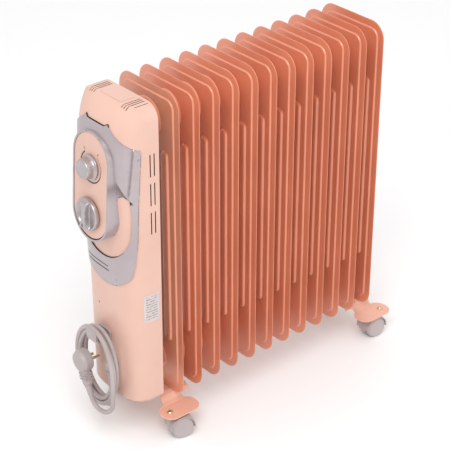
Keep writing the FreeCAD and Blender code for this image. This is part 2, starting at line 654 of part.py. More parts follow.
def make_castor(swivel, x, y, trail_side):
    """Hood and twin wheels of one castor, built about its stem and turned to its rest swivel."""
    axle_x = TRAIL * trail_side
    hood_half = WHEEL_GAP / 2 + WHEEL_THICK - 0.8
    web_half = WHEEL_GAP / 2 - 0.6
    fender = rod(WHEEL_RADIUS + 3, (axle_x, -hood_half, WHEEL_RADIUS), (axle_x, hood_half, WHEEL_RADIUS))
    fender = fender.cut(rod(WHEEL_RADIUS + 1, (axle_x, -40, WHEEL_RADIUS), (axle_x, 40, WHEEL_RADIUS)))
    fender = fender.cut(box(axle_x - 40, axle_x + 40, -40, 40, -10, WHEEL_RADIUS - 2))
    web = rod(WHEEL_RADIUS + 2, (axle_x, -web_half, WHEEL_RADIUS), (axle_x, web_half, WHEEL_RADIUS))
    web = web.cut(box(axle_x - 40, axle_x + 40, -40, 40, -10, WHEEL_RADIUS - 9))
    boss = rod(web_half - 0.4, (0, 0, 22), (0, 0, PLATE_TOP - PLATE_THICK - 0.4))
    hood = fuse([fender, web, boss])
    hood = hood.cut(rod(AXLE_RADIUS, (axle_x, -40, WHEEL_RADIUS), (axle_x, 40, WHEEL_RADIUS)))
    hood = hood.cut(rod(2.6, (0, 0, 30), (0, 0, 60)))
    outline = [(AXLE_RADIUS + 0.05, 0), (WHEEL_RADIUS - 2, 0), (WHEEL_RADIUS, 1.5),
               (WHEEL_RADIUS, WHEEL_THICK - 2.5), (WHEEL_RADIUS - 2, WHEEL_THICK - 0.8),
               (WHEEL_RADIUS - 2.4, WHEEL_THICK), (WHEEL_RADIUS - 3.4, WHEEL_THICK),
               (WHEEL_RADIUS - 4, WHEEL_THICK - 0.5), (0, WHEEL_THICK - 0.5), (0, WHEEL_THICK - 2),
               (AXLE_RADIUS + 0.05, WHEEL_THICK - 2)]
    wheels = [revolved(outline, (axle_x, s * WHEEL_GAP / 2, WHEEL_RADIUS), (0, s, 0)) for s in (-1, 1)]
    reach = WHEEL_GAP / 2 + WHEEL_THICK - 2.1
    axle = rod(AXLE_RADIUS, (axle_x, -reach, WHEEL_RADIUS), (axle_x, reach, WHEEL_RADIUS))
    pieces = [hood, axle] + wheels
    return [moved(turned(piece, swivel, (0, 0, 0)), x, y, 0) for piece in pieces]


def make_castor_screws():
    """Round-headed screws that hold the castors' sockets to the foot plates."""
    screws = []
    for x in (-CASTOR_X, STACK + CASTOR_X):
        for y in (-CASTOR_Y, CASTOR_Y):
            outline = [(0, 0), (5.6, 0), (5.4, 1.4), (3.6, 3.0), (0, 3.6)]
            head = revolved(outline, (x, y, PLATE_TOP), (0, 0, 1))
            screws.append(fuse([head, rod(2.55, (x, y, 31), (x, y, PLATE_TOP))]))
    return Part.Compound(screws)


# Assembly ---------------------------------------------------------------------------------------

def far_end(shape):
    """A foot piece of the housing end, mirrored to the far end of the stack."""
    return shape.mirror(V(STACK / 2, 0, 0), V(1, 0, 0))


def build():
    nodes = {}
    fin = make_fin()
    for i in range(FIN_COUNT):
        nodes["fin_%02d" % (i + 1)] = moved(fin, i * FIN_PITCH, 0, 0)
    nodes["upper_header"] = make_upper_header()
    nodes["lower_header"] = make_lower_header()
    nodes["oil_filler_plug"] = make_filler_plug()
    nodes["heating_element"] = make_element()
    nodes["element_flange"] = make_element_flange()

    outer = housing_body(0)
    inner = housing_body(-WALL)
    skin = housing_body(BEZEL_THICK)
    nodes["housing_shell"] = make_shell(outer, inner)
    nodes["housing_back_plate"] = make_back_plate()
    nodes["housing_screws"] = make_housing_screws()
    nodes["rating_plate"] = make_rating_plate(outer)
    nodes["panel_bezel"] = make_bezel(outer, skin)
    nodes["control_plate"] = make_control_plate()
    nodes["thermostat_knob"] = make_thermostat_knob()
    nodes["thermostat_shaft"] = make_shaft(THERMOSTAT_Z, 13)
    nodes["thermostat_body"] = make_thermostat_body()
    nodes["selector_knob"] = make_selector_knob()
    nodes["selector_shaft"] = make_shaft(SELECTOR_Z, 6.5)
    nodes["selector_switch"] = make_selector_switch()
    nodes["thermal_cutout"] = make_thermal_cutout()
    nodes["terminal_block"] = make_terminal_block()
    nodes["tilt_switch"] = make_tilt_switch()
    nodes["internal_wiring"] = make_wiring()

    nodes["cord_gland"] = make_gland()
    nodes["cord_cleat"] = make_cleat()
    route, radii = rounded_path(CORD_ROUTE)
    print("cord arc radii", [round(r, 1) for r in radii])
    lead = tube_along(route, CORD_DIAMETER / 2)
    nodes["cord_lead"] = lead
    print("cord lead volume", round(lead.Volume), "expected",
          round(math.pi * CORD_DIAMETER ** 2 / 4 * route.Length))
    nodes["cord_hank"] = make_hank()
    for name, piece in (("plug_body", make_plug()), ("plug_pins", make_plug_pins())):
        nodes[name] = moved(turned(piece, -PLUG_LEAN, (0, 0, 0), (1, 0, 0)), *PLUG_FACE)

    foot = make_foot()
    nodes["foot_plate_near"] = foot
    nodes["foot_plate_far"] = far_end(foot)
    u_bolt = make_u_bolt()
    nodes["u_bolts"] = Part.Compound([u_bolt, far_end(u_bolt)])
    leg = WAIST_RADIUS + 3.5
    nuts = [make_wing_nut(side * leg) for side in (-1, 1)]
    nodes["wing_nuts"] = Part.Compound(nuts + [far_end(nut) for nut in nuts])
    nodes["castor_screws"] = make_castor_screws()
    places = (("near_right", -CASTOR_X, -CASTOR_Y, 1, NEAR_SWIVEL),
              ("near_left", -CASTOR_X, CASTOR_Y, 1, -NEAR_SWIVEL),
              ("far_right", STACK + CASTOR_X, -CASTOR_Y, -1, FAR_SWIVEL),
              ("far_left", STACK + CASTOR_X, CASTOR_Y, -1, -FAR_SWIVEL))
    for place, x, y, trail_side, swivel in places:
        hood, axle, wheel_a, wheel_b = make_castor(swivel, x, y, trail_side)
        nodes["castor_%s_hood" % place] = hood
        nodes["castor_%s_axle" % place] = axle
        nodes["castor_%s_wheel_a" % place] = wheel_a
        nodes["castor_%s_wheel_b" % place] = wheel_b
    return nodes


CORD_NODES = ("cord_lead", "cord_hank", "plug_body", "plug_pins")

nodes = build()
boxes = [shape.optimalBoundingBox(False, False) for name, shape in nodes.items()
         if name not in CORD_NODES]
shift_x = -(min(b.XMin for b in boxes) + max(b.XMax for b in boxes)) / 2
print("shift", round(shift_x, 4), "length", round(max(b.XMax for b in boxes) - min(b.XMin for b in boxes), 2),
      "width", round(max(b.YMax for b in boxes) - min(b.YMin for b in boxes), 2),
      "height", round(max(b.ZMax for b in boxes) - min(b.ZMin for b in boxes), 2))
os.makedirs("parts", exist_ok=True)
for name, shape in nodes.items():
    moved(shape, shift_x, 0, 0).exportStep("parts/%s.step" % name)
    if not shape.isValid():
        print("invalid", name)
print(len(nodes), "nodes")
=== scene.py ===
import math

import bmesh
import bpy
import numpy as np
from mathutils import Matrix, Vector
from mathutils.bvhtree import BVHTree


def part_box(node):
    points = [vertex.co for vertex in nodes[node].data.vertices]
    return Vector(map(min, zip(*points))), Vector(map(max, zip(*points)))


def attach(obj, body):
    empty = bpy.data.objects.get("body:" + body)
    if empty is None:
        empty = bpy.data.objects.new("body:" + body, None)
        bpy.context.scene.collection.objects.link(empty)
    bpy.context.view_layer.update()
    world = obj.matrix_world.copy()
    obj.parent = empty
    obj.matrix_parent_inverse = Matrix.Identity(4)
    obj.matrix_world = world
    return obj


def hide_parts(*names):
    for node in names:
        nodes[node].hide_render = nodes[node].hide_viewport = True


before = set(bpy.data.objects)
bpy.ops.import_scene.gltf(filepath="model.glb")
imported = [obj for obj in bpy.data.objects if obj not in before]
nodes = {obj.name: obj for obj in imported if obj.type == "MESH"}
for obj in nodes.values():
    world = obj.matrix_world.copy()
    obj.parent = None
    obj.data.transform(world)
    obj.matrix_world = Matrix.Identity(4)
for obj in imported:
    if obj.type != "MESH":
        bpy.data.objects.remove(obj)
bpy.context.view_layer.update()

# Camera ------------------------------------------------------------------------------------------
# A long lens looks down on the heater from the control end and its plain long side, with no shift.

azimuth = math.radians(-39.92)
elevation = math.radians(30.17)
distance = 2.6213
aim = Vector((-0.0196, 0.0, 0.3185))
back = Vector((math.sin(azimuth) * math.cos(elevation),
               -math.cos(azimuth) * math.cos(elevation), math.sin(elevation)))
camera = bpy.data.objects.new("camera", bpy.data.cameras.new("camera"))
camera.data.sensor_width = 36.0
camera.data.lens = 120.28
camera.location = aim + back * distance
camera.rotation_euler = (-back).to_track_quat("-Z", "Y").to_euler()
bpy.context.scene.collection.objects.link(camera)
bpy.context.scene.camera = camera

# Mains lead --------------------------------------------------------------------------------------
# A round three-core lead in warm grey PVC. It leaves the strain relief downwards, is wound in a
# long oval that hangs on the hook, and comes back up at the front into the plug.

class Socket:
    """An output of a shader node. Sums, products and comparisons of sockets add Math nodes."""

    def __init__(self, tree, output=None):
        self.tree = tree
        self.output = output

    def node(self, kind, inputs=None, out=0, **settings):
        """Adds one node: its settings first, then the value or link of each named input."""
        made = self.tree.nodes.new("ShaderNode" + kind)
        for name, value in settings.items():
            setattr(made, name, value)
        for name, value in (inputs or {}).items():
            if isinstance(value, Socket):
                self.tree.links.new(value.output, made.inputs[name])
            else:
                made.inputs[name].default_value = value
        return Socket(self.tree, made.outputs[out])

    def maths(self, operation, first, second=0.0):
        return self.node("Math", {0: first, 1: second}, operation=operation)

    def __add__(self, other):
        return self.maths("ADD", self, other)

    def __sub__(self, other):
        return self.maths("SUBTRACT", self, other)

    def __rsub__(self, other):
        return self.maths("SUBTRACT", other, self)

    def __mul__(self, other):
        return self.maths("MULTIPLY", self, other)

    def __gt__(self, other):
        return self.maths("GREATER_THAN", self, other)

    def __lt__(self, other):
        return self.maths("LESS_THAN", self, other)

    __radd__ = __add__
    __rmul__ = __mul__


def begin(name):
    """A new material: its Principled shader and a Socket on its tree to start expressions from."""
    material = bpy.data.materials.new(name)
    material.use_nodes = True
    shader = material.node_tree.nodes["Principled BSDF"]
    return material, shader, Socket(material.node_tree)


def feed(start, shader, name, socket):
    """Links a socket to one of the shader's named inputs."""
    start.tree.links.new(socket.output, shader.inputs[name])


def mottle(start, place, scale, detail=3.0):
    """Noise from 0 to 1 over the surface, scale cycles to the metre."""
    return start.node("TexNoise", {"Vector": place, "Scale": scale, "Detail": detail})


def tint(start, factor, low, high):
    """A colour between low and high by factor. Either may be a colour or a socket."""
    low, high = [end if isinstance(end, Socket) else (*end, 1.0) for end in (low, high)]
    return start.node("Mix", {0: factor, 6: low, 7: high}, out=2, data_type="RGBA")


def moulding(name, low, high, roughness, grain, depth, coat=0.0, metallic=0.0):
    """Moulded or painted skin: slow drift between two shades, uneven gloss and a fine grain.

    grain is the grain's frequency per metre and depth its height in metres."""
    material, shader, start = begin(name)
    place = start.node("TexCoord", out="Object")
    drift = mottle(start, place, 14.0)
    fine = mottle(start, place, grain, 2.0)
    shade = start.node("MapRange", {0: drift * 0.75 + fine * 0.25, 1: 0.35, 2: 0.65})
    feed(start, shader, "Base Color", tint(start, shade, low, high))
    feed(start, shader, "Roughness", roughness + (mottle(start, place, 60.0) - 0.5) * 0.12)
    feed(start, shader, "Normal", start.node("Bump", {"Height": fine, "Strength": 1.0,
                                                      "Distance": depth}))
    shader.inputs["Coat Weight"].default_value = coat
    shader.inputs["Coat Roughness"].default_value = 0.12
    shader.inputs["Metallic"].default_value = metallic
    return material


def paint(piece, material):
    """Every face of the piece takes this material."""
    piece.data.materials.clear()
    piece.data.materials.append(material)
    return piece


lead_pvc = moulding("lead_pvc", (0.38, 0.32, 0.315), (0.44, 0.38, 0.375), 0.40, 900.0, 0.00004)
lead_diameter = 0.0084
oval_centre = (-0.2938, 0.0080, 0.1430)
oval_half = (0.0485, 0.0715)
turn_count = 3.75
turn_steps = 18
first_angle = 165.0
# Where each turn starts in the winding's section: (outwards from the oval, away from the housing).
turn_seats = [(0.0060, -0.0056), (-0.0046, -0.0054), (-0.0050, 0.0046), (0.0050, 0.0052),
              (0.0056, 0.0098)]
# The run down from the strain relief, and its bend under the oval.
lead_points = [(-0.2863, -0.0140, 0.1320), (-0.2863, -0.0148, 0.1205), (-0.2873, -0.0175, 0.1090),
               (-0.2893, -0.0235, 0.0955), (-0.2902, -0.0241, 0.0867), (-0.2896, -0.0217, 0.0782),
               (-0.2890, -0.0165, 0.0711), (-0.2884, -0.0092, 0.0662), (-0.2880, -0.0007, 0.0641),
               (-0.2878, 0.0084, 0.0646)]
# The turns follow the oval, shifted by the seat's place and by two slow waves that make them sag
# unevenly.
for k in range(int(turn_count * turn_steps) + 1):
    done = k / turn_steps
    angle = math.radians(first_angle - 360.0 * done)
    seat = int(done)
    part = done - seat
    out, forward = [a + (b - a) * part for a, b in zip(turn_seats[seat], turn_seats[seat + 1])]
    sag = 0.0012 * math.sin(2.0 * angle + 1.9 * done) + 0.0008 * math.sin(3.0 * angle + 4.0 * done)
    lead_points.append((oval_centre[0] - forward,
                        oval_centre[1] + (oval_half[0] + out + sag) * math.sin(angle),
                        oval_centre[2] + (oval_half[1] + out) * math.cos(angle)))
# The loop back up into the plug.
lead_points += [(-0.3050, -0.0466, 0.1120), (-0.3064, -0.0467, 0.0900), (-0.3080, -0.0427, 0.0806),
                (-0.3098, -0.0354, 0.0735), (-0.3116, -0.0259, 0.0698), (-0.3132, -0.0157, 0.0702),
                (-0.3144, -0.0064, 0.0745), (-0.3151, 0.0004, 0.0821), (-0.3153, 0.0042, 0.0911)]

lead_curve = bpy.data.curves.new("mains_lead", "CURVE")
lead_curve.dimensions = "3D"
lead_curve.bevel_depth = lead_diameter / 2
lead_curve.bevel_resolution = 5
lead_curve.resolution_u = 6
lead_curve.use_fill_caps = True
lead_line = lead_curve.splines.new("NURBS")
lead_line.points.add(len(lead_points) - 1)
lead_line.points.foreach_set("co", np.array([(*p, 1.0) for p in lead_points]).ravel())
lead_line.order_u = 3
lead_line.use_endpoint_u = True
mains_lead = bpy.data.objects.new("mains_lead", lead_curve)
bpy.context.scene.collection.objects.link(mains_lead)
lead_curve.materials.append(lead_pvc)
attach(mains_lead, "radiator")
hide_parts("cord_lead", "cord_hank")

# Studio ------------------------------------------------------------------------------------------
# A plain pale floor under a white sky, a large soft lamp high on the left and a weaker one in front.

floor_mesh = bpy.data.meshes.new("studio_floor")
floor_half = 40
floor_corners = [(x * floor_half, y * floor_half, 0) for x, y in ((-1, -1), (1, -1), (1, 1), (-1, 1))]
floor_mesh.from_pydata(floor_corners, [], [(0, 1, 2, 3)])
studio_floor = bpy.data.objects.new("studio_floor", floor_mesh)
bpy.context.scene.collection.objects.link(studio_floor)
floor_paint, floor_shader, _ = begin("floor_paint")
floor_shader.inputs["Base Color"].default_value = (0.92, 0.92, 0.92, 1.0)
floor_shader.inputs["Roughness"].default_value = 0.9
paint(studio_floor, floor_paint)

world = bpy.data.worlds.new("studio")
world.use_nodes = True
world.node_tree.nodes["Background"].inputs["Color"].default_value = (1.0, 1.0, 1.0, 1.0)
world.node_tree.nodes["Background"].inputs["Strength"].default_value = 0.95
bpy.context.scene.world = world
bpy.context.scene.view_settings.view_transform = "Standard"
for name, where, size, watts in (("key_lamp", (-1.3, -1.3, 2.6), 1.6, 40.0),
                                 ("front_lamp", (0.9, -2.4, 1.3), 1.6, 4.0)):
    lamp = bpy.data.objects.new(name, bpy.data.lights.new(name, "AREA"))
    lamp.data.size = size
    lamp.data.energy = watts
    lamp.location = where
    lamp.rotation_euler = (aim - Vector(where)).to_track_quat("-Z", "Y").to_euler()
    bpy.context.scene.collection.objects.link(lamp)

# Fins --------------------------------------------------------------------------------------------
# Twelve hollow fins, each two pressed steel sheets seam welded round the edge and sprayed with a
# satin copper lacquer. A flat border steps up to a pan, and four oil channels rise from the pan.

fin_border = 0.0120
fin_corner = 0.0300
fin_sheet = 0.00055
pan_height = 0.0030
channel_height = 0.0070
channel_half = 0.0095
channel_pitch = 0.0290
channel_end = 0.1050
channel_count = 4
pan_run = 0.0030
channel_run = 0.0034


def solid(name, points, faces, body, material, smooth=True):
    """A closed mesh piece from points and faces, its doubles merged and its faces turned outwards."""
    mesh = bpy.data.meshes.new(name)
    mesh.from_pydata(np.asarray(points).tolist(), [], np.asarray(faces).tolist())
    work = bmesh.new()
    work.from_mesh(mesh)
    bmesh.ops.remove_doubles(work, verts=work.verts, dist=2e-6)
    bmesh.ops.dissolve_degenerate(work, dist=1e-7, edges=work.edges)
    bmesh.ops.recalc_face_normals(work, faces=work.faces)
    work.to_mesh(mesh)
    work.free()
    mesh.polygons.foreach_set("use_smooth", [smooth] * len(mesh.polygons))
    piece = bpy.data.objects.new(name, mesh)
    bpy.context.scene.collection.objects.link(piece)
    paint(piece, material)
    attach(piece, body)
    return piece


def quads(rows, columns, wrap=False):
    """Corner numbers of a rows by columns grid of points, one row of four for each cell."""
    index = np.arange(rows * columns).reshape(rows, columns)
    across = np.roll(index, -1, axis=1) if wrap else index[:, 1:]
    index = index if wrap else index[:, :-1]
    return np.stack([index[:-1], across[:-1], across[1:], index[1:]], axis=-1).reshape(-1, 4)


def step(value):
    """Smooth step: 0 below 0, 1 above 1, three times the square less twice the cube between."""
    value = np.clip(value, 0.0, 1.0)
    return value * value * (3.0 - 2.0 * value)


def fin_surface(half_width, half_height):
    """Half of a fin as nested rounded rectangles.

    A ring set in by d from the edge has corners of radius fin_corner - d. Its sides keep the same
    heights on every ring, so the channels' ends stay crisp. The height off the seam plane is the
    sheet, plus the pan's smooth step, plus a smooth step up to each channel's rounded slot."""
    insets = np.concatenate([
        [0.0, 0.0001, 0.0003, 0.00055], [0.004, 0.0080, 0.0105], np.linspace(0.0115, 0.0156, 9),
        [0.0180, 0.0205], np.linspace(0.0232, 0.0278, 8), [0.031, 0.0345, 0.038],
        np.linspace(0.0406, 0.0452, 8), [0.049], np.linspace(0.0522, 0.0568, 8),
        [0.060, 0.0635, 0.067], np.linspace(0.0702, 0.0748, 8), [0.0765, half_width]])
    core = half_height - half_width
    ends = half_height - channel_end
    near_end = np.linspace(ends - 0.0125, ends + 0.0010, 11)
    heights = np.concatenate([-near_end[::-1], np.linspace(-0.13, 0.13, 9), near_end])
    rings = []
    for d in insets:
        radius = max(fin_corner - d, 0.0)
        y_flat = half_width - d - radius
        z_flat = half_height - d - radius
        side = np.concatenate([np.linspace(-z_flat, -core, 6)[:-1], [-core], heights, [core],
                               np.linspace(core, z_flat, 6)[1:]])
        flat = np.linspace(-y_flat, y_flat, 9)
        turn = np.linspace(0.0, math.pi / 2, 9)[1:-1]
        arc_y, arc_z = radius * np.cos(turn), radius * np.sin(turn)
        reach = half_width - d
        rise = half_height - d
        rings.append(np.concatenate([
            np.stack([np.full(side.size, reach), side], 1),
            np.stack([y_flat + arc_y, z_flat + arc_z], 1),
            np.stack([-flat, np.full(flat.size, rise)], 1),
            np.stack([-y_flat - arc_z, z_flat + arc_y], 1),
            np.stack([np.full(side.size, -reach), -side], 1),
            np.stack([-y_flat - arc_y, -z_flat - arc_z], 1),
            np.stack([flat, np.full(flat.size, -rise)], 1),
            np.stack([y_flat + arc_z, -z_flat - arc_y], 1)]))
    plan = np.array(rings)
    y, z = plan[..., 0], plan[..., 1]
    inset = np.broadcast_to(insets[:, None], y.shape)
    lift = fin_sheet * np.sqrt(np.clip(1.0 - (1.0 - inset / fin_sheet) ** 2, 0.0, 1.0))
    lift = np.where(inset >= fin_sheet, fin_sheet, lift)
    lift = lift + (pan_height - fin_sheet) * step((inset - fin_border) / pan_run)
    beyond = np.maximum(np.abs(z) - (ends - channel_half), 0.0)
    for k in range(channel_count):
        centre = (k - (channel_count - 1) / 2) * channel_pitch
        away = np.hypot(y - centre, beyond)
        channel = pan_height + (channel_height - pan_height) * step((channel_half - away) / channel_run)
        lift = np.maximum(lift, np.where(away > channel_half, 0.0, channel))
    return y, z, lift


def fin_lacquer(name, low, high, deep, metallic, coat):
    """Metallic lacquer: fine flake and slow drift in the colour, an orange-peel skin, a thin coat."""
    material, shader, start = begin(name)
    place = start.node("TexCoord", out="Object")
    drift = mottle(start, place, 9.0)
    flake = start.node("TexVoronoi", {"Vector": place, "Scale": 2600.0}, out="Distance")
    shade = tint(start, start.node("MapRange", {0: drift, 1: 0.35, 2: 0.65}), low, high)
    feed(start, shader, "Base Color", tint(start, flake * 0.35, shade, deep))
    feed(start, shader, "Roughness", 0.31 + mottle(start, place, 90.0) * 0.10)
    feed(start, shader, "Normal", start.node("Bump", {"Height": mottle(start, place, 420.0, 2.0),
                                                      "Strength": 1.0, "Distance": 0.00005}))
    shader.inputs["Metallic"].default_value = metallic
    shader.inputs["Coat Weight"].default_value = coat
    shader.inputs["Coat Roughness"].default_value = 0.30
    return material


fin_copper = fin_lacquer("fin_copper", (0.73, 0.262, 0.150), (0.81, 0.310, 0.180),
                         (0.50, 0.140, 0.070), 0.20, 1.0)
fin_low, fin_high = [Vector(end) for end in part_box("fin_01")]
fin_middle = (fin_low + fin_high) / 2
half_width, half_height = (fin_high.y - fin_low.y) / 2, (fin_high.z - fin_low.z) / 2
y, z, lift = fin_surface(half_width, half_height)
rings, round_ring = y.shape
cells = quads(rings, round_ring, wrap=True)
for name in sorted(name for name in nodes if name.startswith("fin_")):
    low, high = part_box(name)
    seam_plane = (low[0] + high[0]) / 2
    front = np.stack([seam_plane - lift, fin_middle.y + y, fin_middle.z + z], -1).reshape(-1, 3)
    rear = front * [-1.0, 1.0, 1.0] + [2.0 * seam_plane, 0.0, 0.0]
    piece = solid("pressed_" + name, np.vstack([front, rear]),
                  np.vstack([cells, cells[:, ::-1] + len(front)]), "radiator", fin_copper)
    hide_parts(name)

# Headers and oil filler --------------------------------------------------------------------------
# Spun steel collars welded fin to fin carry the oil between them, with a domed cap on the last fin
# and a brass filler plug. They are sprayed with the fins.

for name in ("upper_header", "lower_header", "element_flange"):
    paint(nodes[name], fin_copper)
brass = moulding("brass", (0.72, 0.50, 0.22), (0.80, 0.58, 0.28), 0.28, 700.0, 0.00002,
                 metallic=1.0)
for name in ("oil_filler_plug", "terminal_block"):
    paint(nodes[name], brass)

# Foot plates -------------------------------------------------------------------------------------
# Two folded steel brackets in a pale peach lacquer, held up to the lower header by U-bolts and wing
# nuts. A castor is bolted under each end.

foot_lacquer = moulding("foot_lacquer", (0.76, 0.40, 0.29), (0.82, 0.45, 0.34), 0.42, 500.0,
                        0.00003, coat=0.2)
steel = moulding("plated_steel", (0.60, 0.55, 0.50), (0.70, 0.66, 0.60), 0.30, 1200.0, 0.00002,
                 metallic=1.0)
screw_brass = moulding("screw_plating", (0.62, 0.47, 0.32), (0.72, 0.56, 0.38), 0.34, 1200.0,
                       0.00002, metallic=1.0)
for name in ("foot_plate_near", "foot_plate_far"):
    paint(nodes[name], foot_lacquer)
for name in ("u_bolts", "wing_nuts"):
    paint(nodes[name], steel)
paint(nodes["castor_screws"], screw_brass)

# Castors -----------------------------------------------------------------------------------------
# Twin-wheel furniture castors moulded in a warm light grey nylon: a hood between two plain wheels.

castor_nylon = moulding("castor_nylon", (0.40, 0.335, 0.335), (0.46, 0.39, 0.39), 0.38, 800.0,
                        0.00003)
wheel_nylon = moulding("wheel_nylon", (0.43, 0.365, 0.365), (0.49, 0.42, 0.42), 0.34, 800.0,
                       0.00003)
for corner in ("near_right", "near_left", "far_right", "far_left"):
    paint(nodes[f"castor_{corner}_hood"], castor_nylon)
    paint(nodes[f"castor_{corner}_axle"], steel)
    for side in "ab":
        paint(nodes[f"castor_{corner}_wheel_{side}"], wheel_nylon)

# Control housing ---------------------------------------------------------------------------------
# A deep moulded cover in satin peach plastic, screwed to a galvanised back plate on the first fin.
# Louvres in its sides and top let the warm air out.

housing_plastic, shell_plastic = [
    moulding(name, (0.665, 0.415, 0.335), (0.70, 0.445, 0.36), 0.36, 1100.0, 0.00003, coat=0.15)
    for name in ("housing_plastic", "shell_plastic")]
shell_foot = 0.084
shell_half_at_foot = 0.0705
shell_flare = 0.004 / 0.552
slot_skin = 0.0005
side_slots_x, side_slots_z = (-0.2378, -0.2208), (0.405, 0.566)
top_slots_x, top_slots_y, top_slots_z = (-0.2470, -0.2206), (0.030, 0.056), (0.6225, 0.6352)


def between(place, limits):
    """1 where a coordinate lies between two limits, 0 elsewhere."""
    return (place > limits[0]) * (place < limits[1])


# The walls of the louvres lie in deep shade, so painted shade turns the shell's slots near black.
# A side wall's depth is the flared side's half width at that height, less the distance across.
shell_shader = shell_plastic.node_tree.nodes["Principled BSDF"]
shell_start = Socket(shell_plastic.node_tree)
shell_place = shell_start.node("TexCoord", out="Object")
x_at, y_at, z_at = [shell_start.node("SeparateXYZ", {"Vector": shell_place}, out=k) for k in range(3)]
across = y_at.maths("ABSOLUTE", y_at)
side_depth = shell_half_at_foot + (z_at - shell_foot) * shell_flare - across
in_side = (side_depth > slot_skin) * between(x_at, side_slots_x) * between(z_at, side_slots_z)
in_top = between(z_at, top_slots_z) * between(across, top_slots_y) * between(x_at, top_slots_x)
bare_shade = Socket(shell_plastic.node_tree, shell_shader.inputs["Base Color"].links[0].from_socket)
# Painted shade: where a slot's wall lies, the shell's colour is mixed to near black.
slot_shade_mask = in_side.maths("MAXIMUM", in_side, in_top)
feed(shell_start, shell_shader, "Base Color", tint(shell_start, slot_shade_mask, bare_shade,
                                                   (0.012, 0.008, 0.007)))
galvanised = moulding("galvanised", (0.55, 0.55, 0.56), (0.68, 0.68, 0.69), 0.35, 160.0, 0.00001,
                      metallic=1.0)
paint(nodes["housing_shell"], shell_plastic)
paint(nodes["housing_back_plate"], galvanised)
paint(nodes["housing_screws"], screw_brass)

# Inside the housing ------------------------------------------------------------------------------
# The heating element, thermostat, switches and the wires between them, seen only through the vents.

dark_moulding = moulding("dark_moulding", (0.03, 0.03, 0.03), (0.05, 0.05, 0.05), 0.45, 900.0,
                         0.00003)
wire_cover = moulding("wire_cover", (0.42, 0.40, 0.38), (0.50, 0.48, 0.46), 0.50, 900.0, 0.00003)
for name in ("thermostat_body", "selector_switch", "thermal_cutout", "tilt_switch"):
    paint(nodes[name], dark_moulding)
for name in ("heating_element", "thermostat_shaft", "selector_shaft"):
    paint(nodes[name], steel)
paint(nodes["internal_wiring"], wire_cover)

# Control panel -----------------------------------------------------------------------------------
# A silver-lilac lacquered frame clipped on the front of the housing, cut away in a U round the
# tilted peach plate that carries the two knobs.

bezel_silver = moulding("bezel_silver", (0.41, 0.350, 0.368), (0.47, 0.405, 0.42), 0.33, 900.0,
                        0.00002, coat=0.3, metallic=0.6)
# Near black for painted shade in the gap round the bezel: on the bezel's rim faces and on its seam
# copy.
shadow_gap = moulding("shadow_gap", (0.035, 0.025, 0.024), (0.055, 0.040, 0.038), 0.6, 900.0,
                      0.00002)
bezel_axis_x = -0.2350
front_facing = 0.25
rim_facing = 0.35
smallest_rim_face = 3e-8
pod_half = 0.0478
# Regions of the control pod, each (half width, lowest, highest): its wall, and the hole inside it.
pod_wall, pod_hole = (0.0480, 0.395, 0.590), (0.0485, 0.393, 0.592)
crease_depth, crease_slope, crease_return = 0.0012, 0.012, 0.0010
crease_top, crease_x, crease_lean = 0.5740, -0.2628, -0.0070 / 0.0745
crease_inner_edge, crease_lip = 0.052, 0.0002
crease_foot, crease_foot_run = 0.4860, 0.010
crease_head, crease_head_run = 0.5700, 0.012
crease_shade, crease_shade_run = 0.75, 0.0045
wing_depth, wing_wall, wing_slope, wing_length = 0.0014, 0.0009, 0.017, 0.0465
wing_floor, wing_fade = 0.001, 0.016
wing_apex, wing_tip = np.array([0.0480, 0.5190]), np.array([0.0677, 0.4810])
shadow_seam_width = 0.0009
shadow_seam_sink = 0.0018
# The shadow seam's copy is set back inside the pod by this many of its widths.
pod_sink = 4.0


def refined(name, node, longest):
    """A merged copy of a CAD node with every edge split in half until it is shorter than longest."""
    mesh = node.data.copy()
    mesh.name = name
    work = bmesh.new()
    work.from_mesh(mesh)
    bmesh.ops.remove_doubles(work, verts=work.verts, dist=4e-6)
    bmesh.ops.dissolve_degenerate(work, dist=1e-6, edges=work.edges)
    for _ in range(7):
        long_edges = [edge for edge in work.edges if edge.calc_length() > longest]
        if long_edges:
            bmesh.ops.subdivide_edges(work, edges=long_edges, cuts=1)
            bmesh.ops.triangulate(work, faces=work.faces)
    work.to_mesh(mesh)
    work.free()
    if "custom_normal" in mesh.attributes:
        mesh.attributes.remove(mesh.attributes["custom_normal"])
    piece = bpy.data.objects.new(name, mesh)
    bpy.context.scene.collection.objects.link(piece)
    return piece


def pressed_relief(points):
    """Depth of the bezel's relief at each point, and how much painted shade darkens its corners.

    A crease runs down each flank: the face slopes in towards it over 12 mm and returns in 1 mm.
    Above each end of the strip is a wing: a sharp wall along its slanting edge, whose foot slopes
    back up to the face over 17 mm."""
    x, y, z = points[:, 0], np.abs(points[:, 1]), points[:, 2]
    off = x - (crease_x + (crease_top - z) * crease_lean)
    along = (step((z - crease_foot) / crease_foot_run)
             * (1.0 - step((z - crease_head) / crease_head_run)) * (y > crease_inner_edge))
    returned = 1.0 - step((off - crease_lip) / crease_return)
    crease = crease_depth * step((off + crease_slope) / crease_slope) * returned * along
    slant = (wing_tip - wing_apex) / np.linalg.norm(wing_tip - wing_apex)
    from_apex = np.stack([y, z], 1) - wing_apex
    down = from_apex @ slant
    inward = from_apex @ np.array([slant[1], -slant[0]])
    wing = (step(inward / wing_wall) * (1.0 - step((inward - wing_floor) / wing_slope))
            * step(down / wing_fade) * (down < wing_length))
    crease_dark = crease_shade * along * step((off + crease_shade_run) / crease_shade_run) * returned
    shade = np.maximum(wing, crease_dark)
    return np.maximum(crease, wing_depth * wing), shade


def away_from_axis(points):
    """Level unit vectors from the bezel's upright axis out through each point."""
    away = np.stack([points[:, 0] - bezel_axis_x, points[:, 1], np.zeros(len(points))], 1)
    return away / np.linalg.norm(away, axis=1)[:, None]


def in_region(points, half_width, lowest, highest):
    """True for the points within a half width of the middle and between two heights."""
    return ((np.abs(points[:, 1]) < half_width) & (points[:, 2] > lowest)
            & (points[:, 2] < highest))


